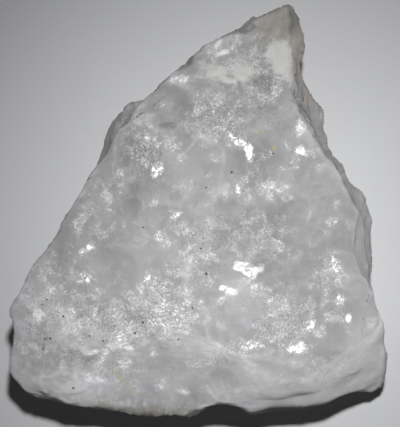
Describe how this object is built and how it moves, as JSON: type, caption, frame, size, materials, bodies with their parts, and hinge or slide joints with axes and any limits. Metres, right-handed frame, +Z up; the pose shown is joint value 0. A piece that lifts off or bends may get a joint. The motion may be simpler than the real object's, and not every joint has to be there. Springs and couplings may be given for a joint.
{
  "type": "rough quartz lump",
  "caption": "Hand-sized broken lump of massive milky quartz with flat and shell-shaped fracture faces, an overhanging near edge and a narrow far tip, resting on a flat underside.",
  "frame": {"origin": "the middle of the stone in plan, on the surface that it rests on", "axes": "+Z up from the rest; +Y towards the narrow tip, so that the overhanging near edge looks to -Y; +X to the right of someone who looks along +Y"},
  "size_m": [0.0942, 0.1014, 0.0431],
  "materials": {
    "milky_quartz": "half clear, milky, lilac-grey stone whose break is glassy in places and frosted in others"
  },
  "bodies": {
    "root": {"quartz": "milky_quartz"}
  },
  "joints": []
}
